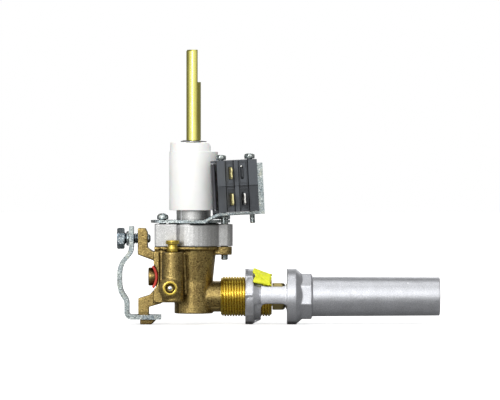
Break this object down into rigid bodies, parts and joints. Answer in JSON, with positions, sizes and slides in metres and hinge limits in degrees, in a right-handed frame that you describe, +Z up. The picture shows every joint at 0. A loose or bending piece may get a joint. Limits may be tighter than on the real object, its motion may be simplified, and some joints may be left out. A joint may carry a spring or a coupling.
{
  "type": "gas tap with burner mixing tube",
  "caption": "Pipe-mounted push-and-turn gas tap with cam sleeve, ignition switches, flame failure valve and an injector with an air mixing tube.",
  "frame": {"origin": "on the axis of the supply pipe that the tap clamps onto, in the plane through the spindle", "axes": "+Z up along the spindle, +X along the mixing tube away from the pipe, Y along the supply pipe with -Y on the side of the switch terminals"},
  "size_m": [0.1774, 0.043, 0.151],
  "materials": {
    "forged_brass": "hot-pressed brass, brownish gold, fine grained and satin",
    "machined_brass": "bright turned brass",
    "cast_aluminium": "die-cast aluminium, light grey and slightly speckled",
    "zinc_plated_steel": "bright zinc-plated pressed steel",
    "spring_steel": "plain spring steel",
    "white_plastic": "moulded white plastic, smooth satin",
    "black_plastic": "moulded dark grey to black plastic, satin",
    "red_rubber": "red moulded rubber",
    "black_rubber": "black nitrile rubber",
    "yellow_paint": "brushed-on yellow sealing paint",
    "copper": "bare copper"
  },
  "bodies": {
    "tap": {"tap_body": "forged_brass", "injector": "machined_brass", "magnet_base": "machined_brass", "magnet_can": "machined_brass", "lower_switch_blade_a": "machined_brass", "lower_switch_blade_b": "machined_brass", "upper_switch_blade_a": "machined_brass", "upper_switch_blade_b": "machined_brass", "bonnet": "cast_aluminium", "mixer_tube": "cast_aluminium", "bonnet_screw_left": "zinc_plated_steel", "bonnet_screw_right": "zinc_plated_steel", "switch_bracket": "zinc_plated_steel", "switch_screw_left": "zinc_plated_steel", "switch_screw_right": "zinc_plated_steel", "ball_plug": "spring_steel", "valve_spring": "spring_steel", "magnet_core": "spring_steel", "lever_pin": "spring_steel", "lower_switch_case": "black_plastic", "lower_switch_cover": "black_plastic", "upper_switch_case": "black_plastic", "upper_switch_cover": "black_plastic", "contact_insulator": "black_plastic", "inlet_gasket": "red_rubber", "spindle_seal": "black_rubber", "locking_paint": "yellow_paint", "magnet_coil": "copper"},
    "plug": {"plug_cone": "machined_brass", "plug_spring": "spring_steel"},
    "spindle": {"spindle": "machined_brass", "cam_sleeve": "white_plastic", "spindle_clip": "spring_steel", "push_rod": "spring_steel"},
    "safety_disc": {"valve_seal": "black_rubber", "valve_disc": "spring_steel"},
    "lever": {"switch_lever": "black_plastic"},
    "lower_plunger": {"lower_switch_plunger": "black_plastic", "lower_switch_leaf": "copper"},
    "upper_plunger": {"upper_switch_plunger": "black_plastic", "upper_switch_leaf": "copper"},
    "bypass_ring": {"bypass_oring": "black_rubber"},
    "bypass_screw": {"bypass_screw": "machined_brass"},
    "clamp_washer": {"clamp_collar": "zinc_plated_steel"},
    "clamp_screw": {"clamp_screw": "zinc_plated_steel"},
    "clamp_strap": {"clamp_strap": "zinc_plated_steel"}
  },
  "joints": [
    {"name": "plug_turn", "type": "hinge", "parent": "tap", "child": "plug", "pos_m": [0.0298, 0, 0], "axis": [0, 0, 1], "range_deg": [0, 180]},
    {"name": "spindle_push", "type": "slide", "parent": "plug", "child": "spindle", "axis": [0, 0, -1], "range_m": [0, 0.0045], "stiffness_N_per_m": 1500, "springref_m": -0.004, "deforming": ["plug_spring"]},
    {"name": "safety_lift", "type": "slide", "parent": "tap", "child": "safety_disc", "axis": [0, 0, -1], "range_m": [0, 0.0025], "stiffness_N_per_m": 150, "springref_m": -0.003, "deforming": ["valve_spring"]},
    {"name": "lever_swing", "type": "hinge", "parent": "tap", "child": "lever", "pos_m": [0.04192, -0.01985, 0.03532], "axis": [0.0484, 0.0068, -0.9988], "range_deg": [0, 6.7]},
    {"name": "lower_plunger_press", "type": "slide", "parent": "tap", "child": "lower_plunger", "axis": [0.9891, 0.139, 0.0488], "range_m": [0, 0.0008], "stiffness_N_per_m": 300, "springref_m": -0.002},
    {"name": "upper_plunger_press", "type": "slide", "parent": "tap", "child": "upper_plunger", "axis": [0.9891, 0.139, 0.0488], "range_m": [0, 0.0008], "stiffness_N_per_m": 300, "springref_m": -0.002},
    {"name": "bypass_rise", "type": "slide", "parent": "tap", "child": "bypass_ring", "axis": [0, 0, 1], "range_m": [0, 0.001]},
    {"name": "bypass_turn", "type": "hinge", "parent": "bypass_ring", "child": "bypass_screw", "pos_m": [0.0185, -0.0173, 0], "axis": [0, 0, 1], "range_deg": [0, 720]},
    {"name": "washer_draw", "type": "slide", "parent": "tap", "child": "clamp_washer", "axis": [-1, 0, 0], "range_m": [0, 0.004]},
    {"name": "clamp_screw_turn", "type": "hinge", "parent": "clamp_washer", "child": "clamp_screw", "pos_m": [0, 0, 0.021], "axis": [-1, 0, 0], "range_deg": [0, 1440]},
    {"name": "strap_swing", "type": "hinge", "parent": "tap", "child": "clamp_strap", "pos_m": [0, 0, -0.0222], "axis": [0, -1, 0], "range_deg": [0, 5]}
  ],
  "couplings": [
    {"joint": "safety_lift", "follows": "spindle_push", "ratio": 0.5555},
    {"joint": "lever_swing", "follows": "spindle_push", "rad_per_m": 25.6},
    {"joint": "lower_plunger_press", "follows": "spindle_push", "ratio": 0.1555},
    {"joint": "upper_plunger_press", "follows": "spindle_push", "ratio": 0.1555},
    {"joint": "bypass_turn", "follows": "bypass_rise", "rad_per_m": 12566},
    {"joint": "clamp_screw_turn", "follows": "washer_draw", "rad_per_m": 6283},
    {"joint": "strap_swing", "follows": "washer_draw", "rad_per_m": 20.9}
  ]
}
